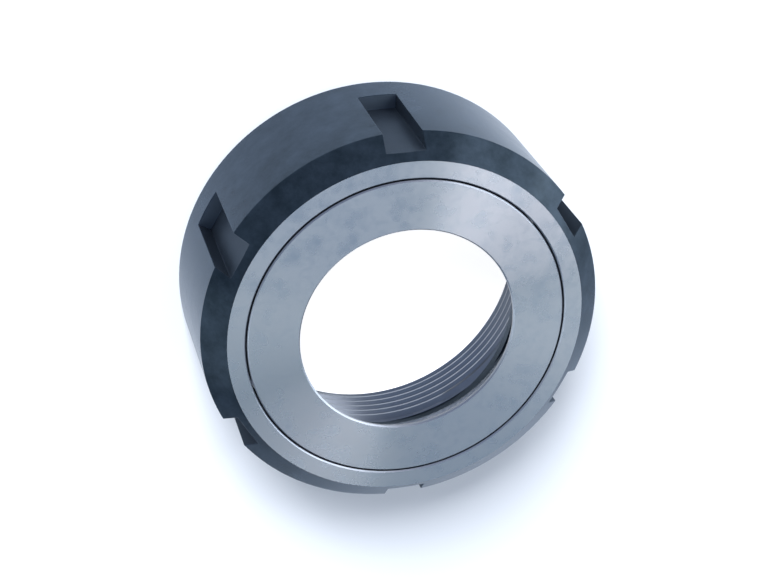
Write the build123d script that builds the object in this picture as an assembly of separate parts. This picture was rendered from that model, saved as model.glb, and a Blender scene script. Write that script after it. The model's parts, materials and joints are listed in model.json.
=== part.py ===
from build123d import *
import math
import os

# Clamping nut for spring collets: a steel body with a fine internal thread and six spanner
# slots, and a ground pressure ring that turns in its front end on a full row of balls.
# The nut stands on its threaded end. Z is its axis, z = 0 its rear face, and the bright
# front face is at the top. Every size is in millimetres.

# Nut body
nut_length = 25.5
thread_diameter = 50.0
thread_pitch = 1.5
thread_entry_chamfer = 1.5
ring_pocket_depth = 15.0
pocket_edge_break = 0.2
front_land_width = 2.8
front_cone_width = 3.5
front_cone_depth = 3.25
rear_chamfer = 1.5

# Spanner slots, milled into the outside and open at the front
slot_count = 6
slot_width = 6.0
slot_length = 18.4
slot_depth = 2.4
slot_start_angle = 37.7

# Pressure ring
ring_gap = 0.25
ring_edge_break = 0.2
ring_bore_diameter = 33.74
ring_bore_chamfer = 0.3
ring_bore_land = 0.25
seat_half_angle = 30.0
seat_mouth_diameter = 40.8
collar_groove_depth = 0.5
collar_groove_width = 1.5
ring_wall = 1.9
lip_thickness = 1.35
lip_bore_margin = 0.1
lip_offset = 2.0
lip_open_angle = 60.0
ring_rear_chamfer = 0.4

# Row of balls between body and ring, in grooves with slanting flanks
ball_diameter = 4.0
ball_running_clearance = 0.075
ball_spacing = 0.03
race_contact_angle = 45.0
race_bottom_relief = 0.2
race_rear_land = 1.0

# Plug that closes the hole through which the balls are filled in
plug_clearance = 0.15
plug_fit_gap = 0.01
plug_recess = 0.2
plug_angle = 127.7


# Race section, measured from the balls' centre
ball_radius = ball_diameter / 2
flank_distance = ball_radius + ball_running_clearance
race_depth = flank_distance + race_bottom_relief

# Radii, from the collet's seat outwards
ring_bore_radius = ring_bore_diameter / 2
seat_mouth_radius = seat_mouth_diameter / 2
collar_groove_radius = seat_mouth_radius + collar_groove_depth
lip_bore_radius = collar_groove_radius + lip_bore_margin
pitch_radius = collar_groove_radius + ring_wall + race_depth
ring_radius = pitch_radius - ring_gap / 2
pocket_radius = pitch_radius + ring_gap / 2
front_land_radius = pocket_radius + front_land_width
outer_radius = front_land_radius + front_cone_width
slot_floor_radius = outer_radius - slot_depth

# The thread's grooves are too fine for the solid: its wall stands at the thread's crests
thread_depth = 5 / 8 * math.sqrt(3) / 2 * thread_pitch
crest_radius = thread_diameter / 2 - thread_depth
thread_mouth_radius = thread_diameter / 2 + thread_entry_chamfer

# Heights of the ring's features, from the front face down
seat_depth = (seat_mouth_radius - ring_bore_radius) / math.tan(math.radians(seat_half_angle))
land_top = nut_length - ring_bore_chamfer
seat_top = land_top - ring_bore_land
seat_bottom = seat_top - seat_depth
lip_top = seat_bottom - collar_groove_width
ring_bottom = lip_top - lip_thickness


def flank_height(depth):
    """How far above the balls' plane a flank lies, at a depth from the pitch circle."""
    contact = math.radians(race_contact_angle)
    return (flank_distance - depth * math.cos(contact)) / math.sin(contact)


race_height = ring_bottom + race_rear_land + flank_height(ring_gap / 2)
ball_pitch_angle = 2 * math.degrees(math.asin((ball_radius + ball_spacing / 2) / pitch_radius))
ball_count = int(360 / ball_pitch_angle)
plug_radius = ball_radius + plug_clearance


def turned(*corners):
    """A solid of revolution about Z from the (radius, height) corners of its section."""
    section = Plane.XZ * make_face(Polyline(*corners, close=True))
    return revolve(section, Axis.Z)


def race():
    """The tunnel in which the balls run: a groove in the body and one in the ring."""
    middle = flank_height(0)
    bottom = flank_height(race_depth)
    return turned(
        (pitch_radius - race_depth, race_height - bottom),
        (pitch_radius, race_height - middle),
        (pitch_radius + race_depth, race_height - bottom),
        (pitch_radius + race_depth, race_height + bottom),
        (pitch_radius, race_height + middle),
        (pitch_radius - race_depth, race_height + bottom),
    )


def plug_bore(radius, inner_end, outer_end):
    """A radial cylinder at the filling hole, between two distances from the axis."""
    length = outer_end - inner_end
    along = Rot(0, 90, 0) * Cylinder(radius, length)
    return Rot(0, 0, plug_angle) * Pos((inner_end + outer_end) / 2, 0, race_height) * along


def spanner_slots():
    """Straight slots round the outside, each with a flat floor and a square rear end."""
    slot = Box(
        2 * slot_depth,
        slot_width,
        slot_length,
        align=(Align.MIN, Align.CENTER, Align.MAX),
    )
    placed = Pos(slot_floor_radius, 0, nut_length) * slot
    return PolarLocations(0, slot_count, slot_start_angle) * placed


def nut_body():
    """The body, with its front cone, the ring's pocket, the outer race and the slots."""
    pocket_bottom = nut_length - ring_pocket_depth
    thread_top = pocket_bottom - abs(pocket_radius - crest_radius)
    blank = turned(
        (thread_mouth_radius, 0),
        (outer_radius - rear_chamfer, 0),
        (outer_radius, rear_chamfer),
        (outer_radius, nut_length - front_cone_depth),
        (front_land_radius, nut_length),
        (pocket_radius + pocket_edge_break, nut_length),
        (pocket_radius, nut_length - pocket_edge_break),
        (pocket_radius, pocket_bottom),
        (crest_radius, thread_top),
        (crest_radius, thread_mouth_radius - crest_radius),
    )
    filling_hole = plug_bore(plug_radius, pitch_radius, outer_radius + slot_depth)
    return blank - race() - filling_hole - spanner_slots()


def pressure_ring():
    """The ring, with the collet's conical seat and the off-centre lip that pulls it out."""
    least_lip_radius = lip_bore_radius - lip_offset
    blank = turned(
        (ring_bore_radius + ring_bore_chamfer, nut_length),
        (ring_radius - ring_edge_break, nut_length),
        (ring_radius, nut_length - ring_edge_break),
        (ring_radius, ring_bottom + ring_rear_chamfer),
        (ring_radius - ring_rear_chamfer, ring_bottom),
        (least_lip_radius, ring_bottom),
        (least_lip_radius, lip_top),
        (collar_groove_radius, lip_top),
        (collar_groove_radius, seat_bottom),
        (seat_mouth_radius, seat_bottom),
        (ring_bore_radius, seat_top),
        (ring_bore_radius, land_top),
    )
    lip_bore = Cylinder(
        lip_bore_radius,
        lip_thickness,
        align=(Align.CENTER, Align.CENTER, Align.MIN),
    )
    lip_place = Rot(0, 0, lip_open_angle) * Pos(lip_offset, 0, ring_bottom)
    return blank - race() - lip_place * lip_bore


def bearing_ball(number):
    """One ball of the row, as 26 flats that hold as much steel as the round ball."""
    cube = Box(ball_diameter, ball_diameter, ball_diameter)
    even_cut = ball_diameter * (2 - math.sqrt(2)) / 2
    flats = chamfer(cube.edges(), even_cut)
    round_volume = math.pi * ball_diameter**3 / 6
    ball = scale(flats, (round_volume / flats.volume) ** (1 / 3))
    return Rot(0, 0, 360 / ball_count * number) * Pos(pitch_radius, 0, race_height) * ball


def filling_plug():
    """A drive-in plug, its inner end cut to the race and its outer end below the body."""
    blank = plug_bore(plug_radius - plug_fit_gap, pitch_radius, outer_radius)
    outside = Cylinder(
        outer_radius - plug_recess,
        nut_length,
        align=(Align.CENTER, Align.CENTER, Align.MIN),
    )
    return (blank & outside) - race()


os.makedirs("parts", exist_ok=True)
export_step(nut_body(), "parts/nut_body.step")
export_step(pressure_ring(), "parts/pressure_ring.step")
export_step(filling_plug(), "parts/filling_plug.step")
for number in range(ball_count):
    export_step(bearing_ball(number), f"parts/ball_{number + 1:02d}.step")
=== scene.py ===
import json
import math
import bmesh
import bpy
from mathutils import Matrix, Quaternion, Vector


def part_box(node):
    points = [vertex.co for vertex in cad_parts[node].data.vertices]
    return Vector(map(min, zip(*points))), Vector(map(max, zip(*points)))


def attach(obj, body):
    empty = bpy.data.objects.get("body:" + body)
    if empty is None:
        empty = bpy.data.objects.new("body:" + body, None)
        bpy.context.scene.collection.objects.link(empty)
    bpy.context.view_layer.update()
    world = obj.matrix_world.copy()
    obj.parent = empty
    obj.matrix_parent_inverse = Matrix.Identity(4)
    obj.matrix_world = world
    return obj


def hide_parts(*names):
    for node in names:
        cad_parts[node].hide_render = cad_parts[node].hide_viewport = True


# A collet clamping nut on a pale floor: a blackened body with a bright ground front, and a
# ground pressure ring that turns in it. Every size is in metres, and Z is the nut's axis.
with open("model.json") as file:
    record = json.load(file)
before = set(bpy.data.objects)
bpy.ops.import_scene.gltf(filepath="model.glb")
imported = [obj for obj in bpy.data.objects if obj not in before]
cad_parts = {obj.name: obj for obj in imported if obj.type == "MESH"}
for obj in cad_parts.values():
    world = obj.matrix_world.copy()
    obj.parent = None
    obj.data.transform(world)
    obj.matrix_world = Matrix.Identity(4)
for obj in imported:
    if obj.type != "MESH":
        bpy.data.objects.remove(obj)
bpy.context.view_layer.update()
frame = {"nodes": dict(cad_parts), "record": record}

MM = 0.001
FULL_TURN = 2 * math.pi

# Sizes that the frame gives
body_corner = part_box("nut_body")[1]
ring_low, ring_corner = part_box("pressure_ring")
mounts = {mount["name"]: mount for mount in frame["record"]["mounts"]}
nut_length = body_corner.z
outer_radius = body_corner.x
ring_radius = ring_corner.x
ring_bottom = ring_low.z
ring_bore_radius = mounts["ring_bore"]["dims"]["r_mm"] * MM
crest_radius = mounts["thread"]["dims"]["r_mm"] * MM
ball_names = sorted(name for name in frame["nodes"] if name.startswith("ball_"))
first_ball_low, first_ball_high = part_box(ball_names[0])
race_height = (first_ball_low.z + first_ball_high.z) / 2
pitch_radius = (first_ball_low.x + first_ball_high.x) / 2

# Body
rear_chamfer = 1.5 * MM
front_cone_depth = 3.25 * MM
front_land_radius = outer_radius - 3.5 * MM
pocket_radius = 2 * pitch_radius - ring_radius
pocket_edge_break = 0.2 * MM
pocket_bottom = nut_length - 15.0 * MM
shoulder_slope = 1.2
edge_softening = 0.09 * MM

# The upward part of a face's normal: between these two on the front cone, and above this on
# a level face
cone_normals = (0.4, 0.95)
level_normal = 0.9

# Thread: its section goes once up the pitch, as (share of the pitch, share of the depth)
thread_pitch = 1.5 * MM
thread_root_radius = 25.0 * MM
thread_mouth_radius = 26.5 * MM
thread_lift = 1.35 * MM
thread_section = ((0.0, 0.05), (0.03, 0.0), (0.22, 0.0), (0.25, 0.05))
thread_section += ((0.5625, 0.95), (0.59, 1.0), (0.66, 1.0), (0.6875, 0.95))

# Grooves laid out from the rear face down, so that the thread runs out of it all round
grooves_below_rear = 3

# Spanner slots
slot_count = 6
slot_step = FULL_TURN / slot_count
slot_half_width = 3.0 * MM
slot_end_height = nut_length - 18.4 * MM
slot_end_margin = 0.4 * MM
slot_floor_distance = outer_radius - 2.4 * MM
first_slot_angle = math.radians(37.7)

# Race: flanks at 45 degrees to the balls' plane
ball_radius = 2.0 * MM
flank_distance = ball_radius + 0.075 * MM
race_depth = flank_distance + 0.2 * MM
flank_slope = math.sqrt(2)

# Pressure ring
ring_edge_break = 0.2 * MM
ring_bore_chamfer = 0.22 * MM
ring_bore_land = 0.33 * MM
seat_mouth_radius = 20.4 * MM
seat_height = (seat_mouth_radius - ring_bore_radius) / math.tan(math.radians(30))
collar_groove_radius = 20.9 * MM
collar_groove_width = 1.5 * MM
lip_bore_radius = 21.0 * MM
lip_offset = 2.0 * MM
lip_open_angle = math.radians(60)
ring_rear_chamfer = 0.4 * MM

# Plug of the filling hole
hole_radius = 2.15 * MM
hole_edge_break = 0.12 * MM
plug_radius = hole_radius - 0.01 * MM
plug_recess = 0.2 * MM
plug_edge_break = 0.15 * MM
plug_angle = math.radians(127.7)

# How finely the skins are divided
slot_spans = 6
land_spans = 24
ring_spans = 240
plug_spans = 48
plug_shares = (0.0, 0.3, 0.6, 0.85)
ball_cuts = 7
merge_distance = 0.002 * MM
sharp_angle = math.radians(25)
shading_angle = math.radians(40)


def blend(low, high, share):
    """The value that lies a share of the way from low to high."""
    return low + (high - low) * share


def around(radius, angle, height):
    """A point on a circle about the nut's axis."""
    return Vector((radius * math.cos(angle), radius * math.sin(angle), height))


def skin(columns, closed_section=True):
    """A mesh over columns of points that go once round; the last column lies on the first."""
    bm = bmesh.new()
    grid = [[bm.verts.new(point) for point in column] for column in columns]
    first_row = 0 if closed_section else 1
    for left, right in zip(grid, grid[1:]):
        for row in range(first_row, len(left)):
            bm.faces.new((left[row - 1], right[row - 1], right[row], left[row]))
    bmesh.ops.remove_doubles(bm, verts=bm.verts, dist=merge_distance)
    bmesh.ops.recalc_face_normals(bm, faces=bm.faces)
    return bm


def soften(bm, width, wanted):
    """Rounds those sharp edges of a skin whose middle the test wants."""
    sharp = []
    for edge in bm.edges:
        middle = (edge.verts[0].co + edge.verts[1].co) / 2
        if edge.calc_face_angle(0) > sharp_angle and wanted(middle):
            sharp.append(edge)
    bmesh.ops.bevel(
        bm,
        geom=sharp,
        offset=width,
        offset_type="OFFSET",
        segments=3,
        profile=0.5,
        affect="EDGES",
        clamp_overlap=True,
    )


def cut(bm, tool):
    """A skin less the inside of another skin; both are used up."""
    made = []
    for part in (bm, tool):
        mesh = bpy.data.meshes.new("cut")
        part.to_mesh(mesh)
        part.free()
        made.append(bpy.data.objects.new("cut", mesh))
        bpy.context.scene.collection.objects.link(made[-1])
    hole = made[0].modifiers.new("hole", "BOOLEAN")
    hole.object = made[1]
    hole.operation = "DIFFERENCE"
    hole.solver = "EXACT"
    found = made[0].evaluated_get(bpy.context.evaluated_depsgraph_get())
    result = bmesh.new()
    result.from_mesh(found.to_mesh())
    found.to_mesh_clear()
    for used in made:
        bpy.data.objects.remove(used)
    return result


def place(name, bm, finishes, body, node):
    """Makes a piece of a skin, rides it on its body and lets it stand for its node."""
    mesh = bpy.data.meshes.new(name)
    bm.to_mesh(mesh)
    bm.free()
    for finish in finishes:
        mesh.materials.append(finish)
    mesh.shade_smooth()
    mesh.set_sharp_from_angle(angle=shading_angle)
    piece = bpy.data.objects.new(name, mesh)
    bpy.context.scene.collection.objects.link(piece)
    weighted = piece.modifiers.new("even_shading", "WEIGHTED_NORMAL")
    weighted.keep_sharp = True
    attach(piece, body)
    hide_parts(node)


# Shader maths


class Signal:
    """A value or colour in a material; arithmetic on it adds Math nodes."""

    def __init__(self, tree, socket=None):
        self.tree = tree
        self.socket = socket

    def node(self, kind, settings, inputs, output=0):
        """Adds a node: its settings first, then its inputs, each a value or another signal."""
        made = self.tree.nodes.new(kind)
        for name, value in settings.items():
            setattr(made, name, value)
        for key, value in inputs.items():
            if isinstance(value, Signal):
                self.tree.links.new(value.socket, made.inputs[key])
            else:
                made.inputs[key].default_value = value
        return Signal(self.tree, made.outputs[output])

    def math(self, operation, *values):
        """An operation on numbers, as a Math node."""
        return self.node("ShaderNodeMath", {"operation": operation}, dict(enumerate(values)))

    def __add__(self, other):
        return self.math("ADD", self, other)

    def __radd__(self, other):
        return self.math("ADD", other, self)

    def __sub__(self, other):
        return self.math("SUBTRACT", self, other)

    def __rsub__(self, other):
        return self.math("SUBTRACT", other, self)

    def __mul__(self, other):
        return self.math("MULTIPLY", self, other)

    def __rmul__(self, other):
        return self.math("MULTIPLY", other, self)

    def __truediv__(self, other):
        return self.math("DIVIDE", self, other)

    def __pow__(self, other):
        return self.math("POWER", self, other)

    def __gt__(self, other):
        return self.math("GREATER_THAN", self, other)

    def __lt__(self, other):
        return self.math("LESS_THAN", self, other)

    def spread(self, low, high, to_low=0.0, to_high=1.0):
        """The value mapped from one span to another, and held at its ends."""
        inputs = {1: low, 2: high, 3: to_low, 4: to_high, 0: self}
        return self.node("ShaderNodeMapRange", {"clamp": True}, inputs)

    def tint(self, first, second):
        """The first colour where the value is 0, the second where it is 1."""
        settings = {"data_type": "RGBA"}
        return self.node("ShaderNodeMix", settings, {0: self, 6: first, 7: second}, 2)

    def grain(self, vector, scale, detail, roughness=0.5):
        """Noise from 0 to 1 at a vector."""
        inputs = {"Vector": vector, "Scale": scale, "Detail": detail, "Roughness": roughness}
        return self.node("ShaderNodeTexNoise", {}, inputs, "Fac")

    def bump(self, height, strength, distance):
        """A normal that rises and falls with a height."""
        inputs = {"Height": height, "Strength": strength, "Distance": distance}
        return self.node("ShaderNodeBump", {}, inputs, "Normal")


def new_finish(name):
    """An empty material, its first signal and its output node."""
    material = bpy.data.materials.new(name)
    material.use_nodes = True
    tree = material.node_tree
    tree.nodes.clear()
    return material, Signal(tree), tree.nodes.new("ShaderNodeOutputMaterial")


def cover(paint, output, inputs):
    """Joins a Principled shader with these inputs to the material's output."""
    shader = paint.node("ShaderNodeBsdfPrincipled", {}, inputs, "BSDF")
    paint.tree.links.new(shader.socket, output.inputs["Surface"])


def turned_place(paint):
    """The place on the nut, its distance from the axis, and its direction without a seam."""
    spot = paint.node("ShaderNodeTexCoord", {}, {}, "Object")
    x, y, z = (paint.node("ShaderNodeSeparateXYZ", {}, {0: spot}, axis) for axis in range(3))
    radius = (x * x + y * y) ** 0.5
    return spot, radius, x / radius, y / radius, z


def lathe_lines(paint, spacing, waver=3.0):
    """The place, and noise drawn out into fine lines round the axis, this far apart."""
    spot, radius, east, north, height = turned_place(paint)
    vector = paint.node(
        "ShaderNodeCombineXYZ",
        {},
        {0: (radius + height) / spacing, 1: east * waver, 2: north * waver},
    )
    return spot, paint.grain(vector, scale=1.0, detail=1.0)


def ground_steel(name, roughness, stretch, relief):
    """Bright steel, ground in circles about the axis, a little stained."""
    finish, paint, output = new_finish(name)
    spot, lines = lathe_lines(paint, 0.22 * MM)
    stains = paint.grain(spot, scale=260.0, detail=3.0, roughness=0.55)
    blots = paint.grain(spot, scale=700.0, detail=1.0)
    dull = stains.spread(0.45, 0.68) * 0.7 + blots.spread(0.5, 0.7) * 0.3
    cover(
        paint,
        output,
        {
            "Base Color": dull.tint((0.75, 0.785, 0.83, 1), (0.56, 0.63, 0.70, 1)),
            "Metallic": 1.0,
            "Roughness": roughness + dull * 0.05,
            "Anisotropic": stretch,
            "Anisotropic Rotation": 0.25,
            "Normal": paint.bump(lines, relief, 0.02 * MM),
        },
    )
    return finish


def turned_steel():
    """The bare steel of the bore and thread, left from the lathe."""
    finish, paint, output = new_finish("turned_steel")
    spot, lines = lathe_lines(paint, 0.10 * MM)
    stains = paint.grain(spot, scale=300.0, detail=3.0, roughness=0.6)
    cover(
        paint,
        output,
        {
            "Base Color": stains.tint((0.235, 0.265, 0.31, 1), (0.18, 0.20, 0.24, 1)),
            "Metallic": 1.0,
            "Roughness": 0.27 + lines * 0.06,
            "Anisotropic": 0.5,
            "Anisotropic Rotation": 0.25,
            "Normal": paint.bump(lines, 0.08, 0.02 * MM),
        },
    )
    return finish


def broken_edge():
    """Steel of the broken edges and walls on both sides of the gap, dull and stained."""
    finish, paint, output = new_finish("broken_edge")
    spot = paint.node("ShaderNodeTexCoord", {}, {}, "Object")
    stains = paint.grain(spot, scale=300.0, detail=2.0)
    cover(
        paint,
        output,
        {
            "Base Color": stains.tint((0.38, 0.41, 0.46, 1), (0.30, 0.33, 0.38, 1)),
            "Metallic": 1.0,
            "Roughness": 0.33 + stains * 0.1,
        },
    )
    return finish


def blackened_steel(name, dark, pale, index, roughness):
    """Blue-black oxide, clouded between two tones, with painted light that makes it a little paler
    towards the rear and darker towards the front.
    """
    finish, paint, output = new_finish(name)
    spot, lines = lathe_lines(paint, 0.10 * MM)
    mottle = paint.grain(spot, scale=240.0, detail=5.0, roughness=0.7).spread(0.3, 0.7)
    height = paint.node("ShaderNodeSeparateXYZ", {}, {0: spot}, 2)
    # The height term is painted light: it makes the oxide paler towards the rear and darker towards
    # the front.
    clouds_and_painted_light = mottle * 0.8 + height.spread(0.0, nut_length, 0.4, -0.15)
    specks = paint.grain(spot, scale=2200.0, detail=2.0)
    cover(
        paint,
        output,
        {
            "Base Color": clouds_and_painted_light.tint(dark, pale),
            "Metallic": 0.25,
            "Specular Tint": (0.64, 0.80, 1.0, 1),
            "IOR": index,
            "Roughness": roughness + clouds_and_painted_light * 0.06 + specks * 0.04,
            "Normal": paint.bump(lines + specks, 0.06, 0.02 * MM),
        },
    )
    return finish


def ball_steel():
    """Polished bearing steel with the faint mottle of its lapping."""
    finish, paint, output = new_finish("ball_steel")
    spot = paint.node("ShaderNodeTexCoord", {}, {}, "Object")
    lapping = paint.grain(spot, scale=1500.0, detail=3.0)
    cover(
        paint,
        output,
        {
            "Base Color": lapping.tint((0.56, 0.57, 0.58, 1), (0.47, 0.48, 0.49, 1)),
            "Metallic": 1.0,
            "Roughness": 0.12 + lapping * 0.08,
        },
    )
    return finish


# Nut body


def cone_height(radius):
    """The height of the front cone's surface at a distance from the axis."""
    share = (outer_radius - radius) / (outer_radius - front_land_radius)
    return nut_length - front_cone_depth * (1 - share)


def flank_height(depth):
    """How far above the balls' plane a race's flank lies, at a depth from the pitch circle."""
    return flank_distance * flank_slope - depth


def slot_half_angle(radius):
    """Half the angle that a slot takes up at a distance from the axis."""
    return math.asin(slot_half_width / radius)


def outside_of_land():
    """Section of the body's outside between two slots, from the rear face up."""
    runout_radius = math.hypot(slot_floor_distance, slot_half_width)
    cone_start = cone_height(outer_radius)
    rows = [(outer_radius - rear_chamfer, 0.0), (outer_radius, rear_chamfer)]
    rows += [(outer_radius, blend(rear_chamfer, slot_end_height, share)) for share in (0.5, 1.0)]
    rows += [(outer_radius, slot_end_height + slot_end_margin)]
    rows += [(outer_radius, blend(slot_end_height, cone_start, share)) for share in (0.33, 0.66, 1)]
    for share in (0.5, 1.0):
        radius = blend(outer_radius, runout_radius, share)
        rows.append((radius, cone_height(radius)))
    return rows + [(front_land_radius, nut_length)]


def outside_of_slot(across):
    """The same rows where a slot is milled, at a distance across from its middle."""
    floor_radius = math.hypot(slot_floor_distance, across)
    land = outside_of_land()
    rows = land[:4] + [(floor_radius, slot_end_height)]
    rows += [(floor_radius, height) for radius, height in land[5:8]]
    for share in (0.5, 1.0):
        rows.append((floor_radius, blend(land[7][1], cone_height(floor_radius), share)))
    return rows + [land[-1]]


def inside_of_body():
    """Section of the front land, the ring's pocket and the outer race, from the front down."""
    rim = flank_height(pocket_radius - pitch_radius)
    bottom = flank_height(race_depth)
    return [
        (pocket_radius + pocket_edge_break, nut_length),
        (pocket_radius, nut_length - pocket_edge_break),
        (pocket_radius, race_height + rim),
        (pitch_radius + race_depth, race_height + bottom),
        (pitch_radius + race_depth, race_height - bottom),
        (pocket_radius, race_height - rim),
    ]


def thread_radius(height, turn):
    """Distance from the axis to the thread's surface, or to the cones at its two ends."""
    phase = ((height - thread_lift) / thread_pitch - turn) % 1.0
    corners = thread_section + ((1.0 + thread_section[0][0], thread_section[0][1]),)
    depth = thread_section[-1][1]
    for (start, first), (end, second) in zip(corners, corners[1:]):
        if start <= phase <= end:
            depth = blend(first, second, (phase - start) / (end - start))
    radius = blend(crest_radius, thread_root_radius, depth)
    shoulder = pocket_radius - shoulder_slope * (pocket_bottom - height)
    return max(radius, thread_mouth_radius - height, shoulder)


def thread_rows(turn):
    """The thread's points at one angle, given in turns, from the pocket's bottom down."""
    rows = []
    for groove in range(math.ceil(pocket_bottom / thread_pitch), -grooves_below_rear, -1):
        for phase, depth in reversed(thread_section):
            height = thread_lift + (groove + phase + turn) * thread_pitch
            height = min(max(height, 0.0), pocket_bottom)
            rows.append((thread_radius(height, turn), height))
    return rows


def body_column(slot, across=None, fraction=None):
    """One upright cut through the body: across a slot, or a fraction along the next land."""

    def angle_at(radius):
        start = first_slot_angle + slot * slot_step
        if across is not None:
            return start + math.asin(across / radius)
        half = slot_half_angle(radius)
        return start + blend(half, slot_step - half, fraction)

    outside = outside_of_land() if across is None else outside_of_slot(across)
    column = [around(radius, angle_at(radius), height) for radius, height in outside]
    angle = angle_at(crest_radius)
    inside = inside_of_body() + thread_rows(angle / FULL_TURN)
    return column + [around(radius, angle, height) for radius, height in inside]


def body_columns():
    """All upright cuts, once round from the first slot."""
    for slot in range(slot_count):
        for span in range(slot_spans + 1):
            across = blend(-slot_half_width, slot_half_width, span / slot_spans)
            yield body_column(slot, across=across)
        for span in range(land_spans + 1):
            yield body_column(slot, fraction=span / land_spans)
    yield body_column(slot_count, across=-slot_half_width)


def is_outer_edge(point):
    """True for the body's outside and its slots, and for the rear face's outer edge."""
    return math.hypot(point.x, point.y) > front_land_radius - merge_distance


def filling_hole():
    """The filling hole with its broken edge, as a solid to cut from the body."""
    profile = (
        (0.0, pitch_radius),
        (hole_radius, pitch_radius),
        (hole_radius, outer_radius - hole_edge_break),
        (hole_radius + 2 * hole_edge_break, outer_radius + hole_edge_break),
        (0.0, outer_radius + hole_edge_break),
    )
    return skin([plug_column(profile, span) for span in range(plug_spans + 1)], False)


def plug_column(profile, span):
    """Points at one angle about the plug's axis, from (distance from it, distance out)."""
    turn = FULL_TURN * span / plug_spans
    outwards = around(1.0, plug_angle, 0.0)
    sideways = around(1.0, plug_angle + FULL_TURN / 4, 0.0)
    lift = Vector((0.0, 0.0, 1.0))
    spoke = sideways * math.cos(turn) + lift * math.sin(turn)
    middle = Vector((0.0, 0.0, race_height))
    return [middle + spoke * reach + outwards * out for reach, out in profile]


def is_milled(face, radius):
    """True for the floors, walls and ends of the spanner slots."""
    on_cone = cone_normals[0] < face.normal.z < cone_normals[1]
    return front_land_radius < radius < outer_radius - 2 * edge_softening and not on_cone


def nut_body(blackened, milled, painted_lit_slot_end, ground, turned, edge):
    """The body, with each face in the finish that its last tool left, but the slots' upward-facing
    ends in a paler, painted-light copy of the milled finish.
    """
    bm = skin(list(body_columns()))
    soften(bm, edge_softening, is_outer_edge)
    bm = cut(bm, filling_hole())
    finishes = [blackened, milled, painted_lit_slot_end, ground, turned, edge]
    for face in bm.faces:
        middle = face.calc_center_median()
        radius = math.hypot(middle.x, middle.y)
        on_front = middle.z > nut_length - pocket_edge_break - merge_distance
        in_pocket = abs(radius - pocket_radius) < pocket_edge_break and middle.z > race_height
        if in_pocket:
            finish = edge
        elif on_front and radius < front_land_radius - edge_softening / 2:
            finish = ground
        elif radius < thread_mouth_radius and middle.z < pocket_bottom:
            finish = turned
        elif is_milled(face, radius) and middle.z > rear_chamfer:
            # Slot faces that look up get the painted-light copy, paler than the milled walls and
            # floors.
            finish = painted_lit_slot_end if face.normal.z > level_normal else milled
        else:
            finish = blackened
        face.material_index = finishes.index(finish)
    place("body", bm, finishes, "nut", "nut_body")


# Pressure ring


def lip_edge(angle):
    """Distance from the nut's axis to the off-centre bore of the lip."""
    turn = angle - lip_open_angle
    reach = math.sqrt(lip_bore_radius**2 - (lip_offset * math.sin(turn)) ** 2)
    return lip_offset * math.cos(turn) + reach


def ring_column(angle):
    """One upright cut through the ring, from its bore's edge outwards and round to the seat."""
    land_top = nut_length - ring_bore_chamfer
    seat_top = land_top - ring_bore_land
    seat_bottom = seat_top - seat_height
    lip_top = seat_bottom - collar_groove_width
    rim = flank_height(pitch_radius - ring_radius)
    bottom = flank_height(race_depth)
    section = (
        (ring_bore_radius + ring_bore_chamfer, nut_length),
        (ring_radius - ring_edge_break, nut_length),
        (ring_radius, nut_length - ring_edge_break),
        (ring_radius, race_height + rim),
        (pitch_radius - race_depth, race_height + bottom),
        (pitch_radius - race_depth, race_height - bottom),
        (ring_radius, race_height - rim),
        (ring_radius, ring_bottom + ring_rear_chamfer),
        (ring_radius - ring_rear_chamfer, ring_bottom),
        (lip_edge(angle), ring_bottom),
        (lip_edge(angle), lip_top),
        (collar_groove_radius, lip_top),
        (collar_groove_radius, seat_bottom),
        (seat_mouth_radius, seat_bottom),
        (ring_bore_radius, seat_top),
        (ring_bore_radius, land_top),
    )
    return [around(radius, angle, height) for radius, height in section]


def pressure_ring(blackened, ground, seat, turned, edge):
    """The ring, with each face in the finish that its last tool left."""
    columns = [ring_column(FULL_TURN * span / ring_spans) for span in range(ring_spans + 1)]
    bm = skin(columns)
    finishes = [blackened, ground, seat, turned, edge]
    for face in bm.faces:
        middle = face.calc_center_median()
        radius = math.hypot(middle.x, middle.y)
        depth = nut_length - middle.z
        on_rim = radius > ring_radius - ring_edge_break and middle.z > race_height
        in_bore = radius < ring_bore_radius + merge_distance
        on_land = in_bore and depth < ring_bore_chamfer + ring_bore_land
        on_bore_edge = radius < ring_bore_radius + ring_bore_chamfer and depth < ring_bore_chamfer
        if on_rim or on_bore_edge:
            finish = edge
        elif on_land:
            finish = turned
        elif depth < merge_distance:
            finish = ground
        elif radius < seat_mouth_radius and depth < seat_height:
            finish = seat
        else:
            finish = blackened
        face.material_index = finishes.index(finish)
    place("ring", bm, finishes, "ring", "pressure_ring")


# Balls and plug


def bearing_ball(node, finish):
    """A round ball where its node has a flat-sided one."""
    low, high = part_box(node)
    bm = bmesh.new()
    bmesh.ops.create_cube(bm, size=2.0)
    bmesh.ops.subdivide_edges(bm, edges=bm.edges, cuts=ball_cuts, use_grid_fill=True)
    for vertex in bm.verts:
        vertex.co = (low + high) / 2 + vertex.co.normalized() * ball_radius
    place("round_" + node, bm, (finish,), "ball_row", node)


def filling_plug(finish):
    """The plug: its outer end follows the body's outside, its inner end the race."""
    end_radius = outer_radius - plug_recess
    reaches = [plug_radius * share for share in plug_shares]
    rim = plug_radius - plug_edge_break
    inner = pitch_radius + race_depth
    columns = []
    for span in range(plug_spans + 1):
        turn = FULL_TURN * span / plug_spans
        profile = []
        for reach in reaches + [rim]:
            aside = reach * math.cos(turn)
            profile.append((reach, math.sqrt(end_radius**2 - aside**2)))
        side_top = math.sqrt(end_radius**2 - (plug_radius * math.cos(turn)) ** 2)
        profile.append((plug_radius, side_top - plug_edge_break))
        for reach in [plug_radius] + reaches[::-1]:
            flank = pitch_radius + flank_distance * flank_slope - abs(reach * math.sin(turn))
            end = min(inner, flank)
            profile.append((reach, math.sqrt(end**2 - (reach * math.cos(turn)) ** 2)))
        columns.append(plug_column(profile, span))
    bm = skin(columns, closed_section=False)
    place("plug", bm, (finish,), "nut", "filling_plug")


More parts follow.
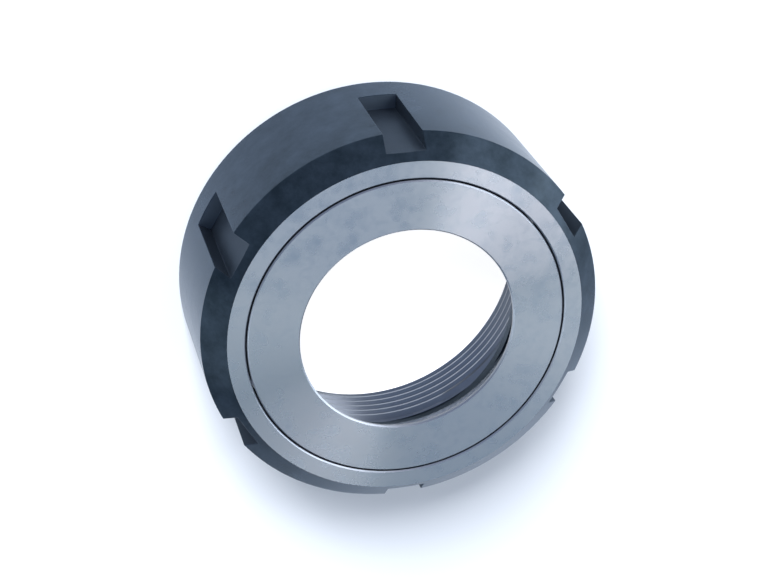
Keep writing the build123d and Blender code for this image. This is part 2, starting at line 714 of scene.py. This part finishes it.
oxide_tones = (0.016, 0.026, 0.036, 1), (0.045, 0.064, 0.088, 1)
milled_tones = (0.031, 0.041, 0.053, 1), (0.043, 0.055, 0.072, 1)
# The slot ends, which face up, get a lit copy of the milled finish: their paler end tones are
# painted light.
painted_lit_end_tones = (0.088, 0.115, 0.148, 1), (0.100, 0.132, 0.170, 1)
blackened = blackened_steel("blackened_steel", *oxide_tones, index=1.17, roughness=0.16)
milled = blackened_steel("milled_and_blackened", *milled_tones, index=1.12, roughness=0.30)
painted_lit_slot_end = blackened_steel("painted_lit_end_milled_and_blackened", *painted_lit_end_tones, index=1.12, roughness=0.35)
edge = broken_edge()
ground = ground_steel("ground_steel", roughness=0.25, stretch=1.0, relief=0.0)
seat = ground_steel("seat_steel", roughness=0.12, stretch=0.3, relief=0.05)
turned = turned_steel()
nut_body(blackened, milled, painted_lit_slot_end, ground, turned, edge)
pressure_ring(blackened, ground, seat, turned, edge)
filling_plug(blackened)
polished = ball_steel()
for name in ball_names:
    bearing_ball(name, polished)


# Floor, light and camera

floor_half = 1.5
floor_colour = (0.80, 0.80, 0.80, 1)
glow_colour = (0.84, 0.84, 0.84, 1)
glow_radius = thread_mouth_radius + 1.0 * MM

# The room: its upper part, with a dim corner and the photographer's shade in it, and its
# four sides near the floor
lower_part_ends = 0.35
upper_part_starts = 0.6
room_colour = (0.80, 0.85, 0.93, 1)
corner_colour = (0.01, 0.07, 0.12, 1)
corner_way = Vector((-0.20, 0.73, 0.655)).normalized()
shade_colour = (0.44, 0.52, 0.70, 1)
shade_way = Vector((0.283, -0.427, 0.859)).normalized()
east_colour = (0.20, 0.27, 0.40, 1)
north_colour = (0.07, 0.15, 0.28, 1)
west_colour = (0.80, 1.00, 1.20, 1)
south_colour = (0.30, 0.30, 0.42, 1)

# The camera, as solved from the photograph's circles; the focal length is for a 36 mm sensor
focal_length = 82.64
view_azimuth = math.radians(303.491)
view_elevation = math.radians(59.182)
view_roll = math.radians(150.347)
view_aim = Vector((0.106, -0.552, 12.75)) * MM
view_distance = 281.846 * MM


def pale_floor():
    """A white floor that keeps the shadow; under the nut's bore it looks lit from below."""
    finish, paint, output = new_finish("pale_floor")
    seen = paint.node("ShaderNodeLightPath", {}, {}, "Is Camera Ray")
    mirrored = paint.node("ShaderNodeLightPath", {}, {}, "Is Glossy Ray")
    through = paint.node("ShaderNodeLightPath", {}, {}, "Is Transmission Ray")
    inside = turned_place(paint)[1] < glow_radius
    chalk = paint.node("ShaderNodeBsdfDiffuse", {}, {"Color": floor_colour}, "BSDF")
    shown = paint.math("MAXIMUM", seen + mirrored, through)
    glow = paint.node(
        "ShaderNodeEmission",
        {},
        {"Color": glow_colour, "Strength": inside * shown},
    )
    both = paint.node("ShaderNodeAddShader", {}, {0: chalk, 1: glow})
    paint.tree.links.new(both.socket, output.inputs["Surface"])
    mesh = bpy.data.meshes.new("floor")
    corners = [(x * floor_half, y * floor_half, 0) for x, y in ((-1, -1), (1, -1), (1, 1), (-1, 1))]
    mesh.from_pydata(corners, [], [(0, 1, 2, 3)])
    mesh.materials.append(finish)
    floor = bpy.data.objects.new("floor", mesh)
    bpy.context.scene.collection.objects.link(floor)
    return floor


def pale_room():
    """The room's light, which differs from side to side near the floor."""
    world = bpy.data.worlds.new("room")
    world.use_nodes = True
    world.node_tree.nodes.clear()
    light = Signal(world.node_tree)
    way = light.node("ShaderNodeTexCoord", {}, {}, "Generated")
    east, north, height = (
        light.node("ShaderNodeSeparateXYZ", {}, {0: way}, axis) for axis in range(3)
    )

    def toward(aim, core, reach):
        """1 within an angle of core degrees of a direction, and 0 beyond the reach."""
        inputs = {0: way, 1: aim}
        cosine = light.node("ShaderNodeVectorMath", {"operation": "DOT_PRODUCT"}, inputs, 1)
        return cosine.spread(math.cos(math.radians(reach)), math.cos(math.radians(core)))

    upper = toward(corner_way, core=18, reach=29).tint(room_colour, corner_colour)
    upper = toward(shade_way, core=24, reach=44).tint(upper, shade_colour)
    along_x = (east > 0.0).tint(west_colour, east_colour)
    along_y = (north > 0.0).tint(south_colour, north_colour)
    across = (north * north) / (east * east + north * north)
    lower = across.tint(along_x, along_y)
    air_colour = height.spread(lower_part_ends, upper_part_starts).tint(lower, upper)
    air = light.node("ShaderNodeBackground", {}, {"Color": air_colour, "Strength": 1.0})
    output = world.node_tree.nodes.new("ShaderNodeOutputWorld")
    world.node_tree.links.new(air.socket, output.inputs["Surface"])
    bpy.context.scene.world = world


def panel(name, spot, facing, width, height, radiance, colour):
    """A soft light panel at a place that faces some way and looks this bright."""
    lamp = bpy.data.lights.new(name, "AREA")
    lamp.shape = "RECTANGLE"
    lamp.size = width
    lamp.size_y = height
    lamp.energy = radiance * math.pi * width * height
    lamp.color = colour
    light = bpy.data.objects.new(name, lamp)
    light.location = spot
    light.rotation_mode = "QUATERNION"
    light.rotation_quaternion = facing.to_track_quat("-Z", "Y")
    bpy.context.scene.collection.objects.link(light)
    return light


def photographed_view():
    """The camera, at the angle and distance from which the photograph was taken."""
    camera = bpy.data.objects.new("camera", bpy.data.cameras.new("camera"))
    camera.data.sensor_width = 36.0
    camera.data.lens = focal_length
    camera.data.clip_start = 0.01
    camera.data.clip_end = 20.0
    back = around(math.cos(view_elevation), view_azimuth, math.sin(view_elevation))
    camera.location = view_aim + back * view_distance
    camera.rotation_mode = "QUATERNION"
    level = (-back).to_track_quat("-Z", "Y")
    camera.rotation_quaternion = level @ Quaternion((0, 0, 1), view_roll)
    bpy.context.scene.collection.objects.link(camera)
    bpy.context.scene.camera = camera


def share_out(light, thing, lit):
    """Lets a light fall only on a thing, or on everything but that thing."""
    receivers = bpy.data.collections.new(light.name + "_receivers")
    receivers.objects.link(thing)
    receivers.collection_objects[0].light_linking.link_state = "INCLUDE" if lit else "EXCLUDE"
    light.light_linking.receiver_collection = receivers


floor = pale_floor()
pale_room()
down = Vector((0.0, 0.0, -1.0))
window = panel(
    "window",
    Vector((-0.66, -0.165, 0.80)),
    down,
    width=0.72,
    height=0.91,
    radiance=0.54,
    colour=(1.0, 0.86, 0.90),
)
pane = panel(
    "pane",
    Vector((-0.36, -0.165, 0.80)),
    down,
    width=0.12,
    height=0.91,
    radiance=0.70,
    colour=(0.97, 1.0, 0.78),
)
side_angle = math.radians(221)
side = panel(
    "side",
    around(0.80, side_angle, 0.47),
    around(-1.0, side_angle, 0.0),
    width=0.614,
    height=0.94,
    radiance=2.85,
    colour=(0.98, 0.99, 1.0),
)
low_place = around(0.99, math.radians(191), 0.13)
low_side = panel(
    "low_side",
    low_place,
    -low_place,
    width=0.50,
    height=0.26,
    radiance=4.1,
    colour=(0.95, 0.98, 1.0),
)
far_place = Vector((0.80, 0.52, 0.30))
far_side = panel(
    "far_side",
    far_place,
    -far_place,
    width=0.70,
    height=0.40,
    radiance=1.8,
    colour=(0.92, 0.99, 1.0),
)
for light in (window, pane, side, low_side, far_side):
    share_out(light, floor, False)
lamp_place = Vector((0.66, -1.40, 1.28))
floor_lamp = panel(
    "floor_lamp",
    lamp_place,
    -lamp_place,
    width=0.74,
    height=0.74,
    radiance=39.0,
    colour=(0.92, 0.975, 1.06),
)
share_out(floor_lamp, floor, True)
photographed_view()
bpy.context.scene.view_settings.view_transform = "Standard"
